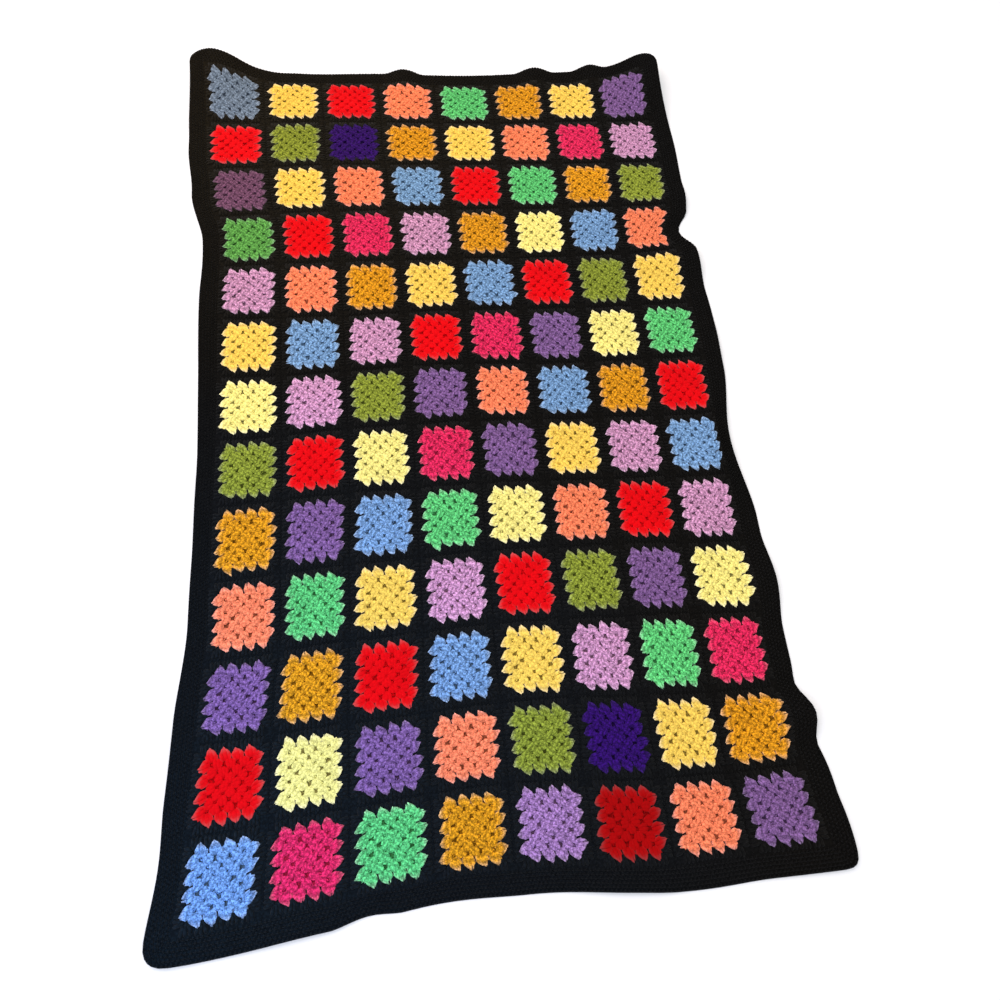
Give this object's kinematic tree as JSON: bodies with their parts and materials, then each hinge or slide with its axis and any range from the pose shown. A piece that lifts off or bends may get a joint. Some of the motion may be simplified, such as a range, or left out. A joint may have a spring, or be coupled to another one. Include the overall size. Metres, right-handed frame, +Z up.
{
  "type": "granny square blanket",
  "caption": "Crocheted blanket of bright squares on black, joined edge to edge inside a black edging, lying spread out with its far corners raised.",
  "frame": {"origin": "middle of the blanket's box, on the surface that it lies on", "axes": "+Z up, +Y along the blanket from its near end to its far end, +X across it to the right"},
  "size_m": [1.1166, 1.8292, 0.0433],
  "materials": {
    "coloured_yarns": "matt crocheted acrylic yarn in many colours on black",
    "black_yarn": "matt crocheted acrylic yarn"
  },
  "bodies": {
    "root": {"squares_panel": "coloured_yarns", "edging": "black_yarn"}
  },
  "joints": []
}
